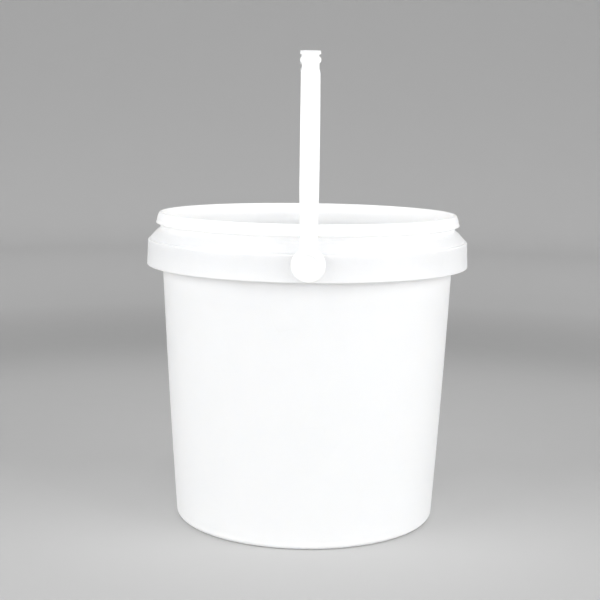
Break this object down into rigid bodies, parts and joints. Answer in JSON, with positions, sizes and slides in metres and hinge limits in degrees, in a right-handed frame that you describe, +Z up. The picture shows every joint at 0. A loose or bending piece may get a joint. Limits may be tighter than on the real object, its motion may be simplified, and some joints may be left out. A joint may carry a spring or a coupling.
{
  "type": "plastic fermenting bucket",
  "caption": "Open round white plastic bucket with a tapered wall, a beaded rim for a push-fit lid, a ribbed collar and a hinged bail handle.",
  "frame": {"origin": "centre of the foot ring, on the surface that the bucket stands on", "axes": "+Z up along the bucket's axis, Y along the handle's pivot axis, X across it"},
  "size_m": [0.2716, 0.2824, 0.392],
  "materials": {
    "bucket_plastic": "white polypropylene, satin, very slightly translucent",
    "handle_plastic": "white polypropylene, satin with a fine moulded texture"
  },
  "bodies": {
    "bucket": {"bucket": "bucket_plastic"},
    "handle": {"handle": "handle_plastic"}
  },
  "joints": [
    {"name": "handle_swing", "type": "hinge", "parent": "bucket", "child": "handle", "pos_m": [0, 0, 0.2302], "axis": [0, 1, 0], "range_deg": [-125, 125]}
  ]
}
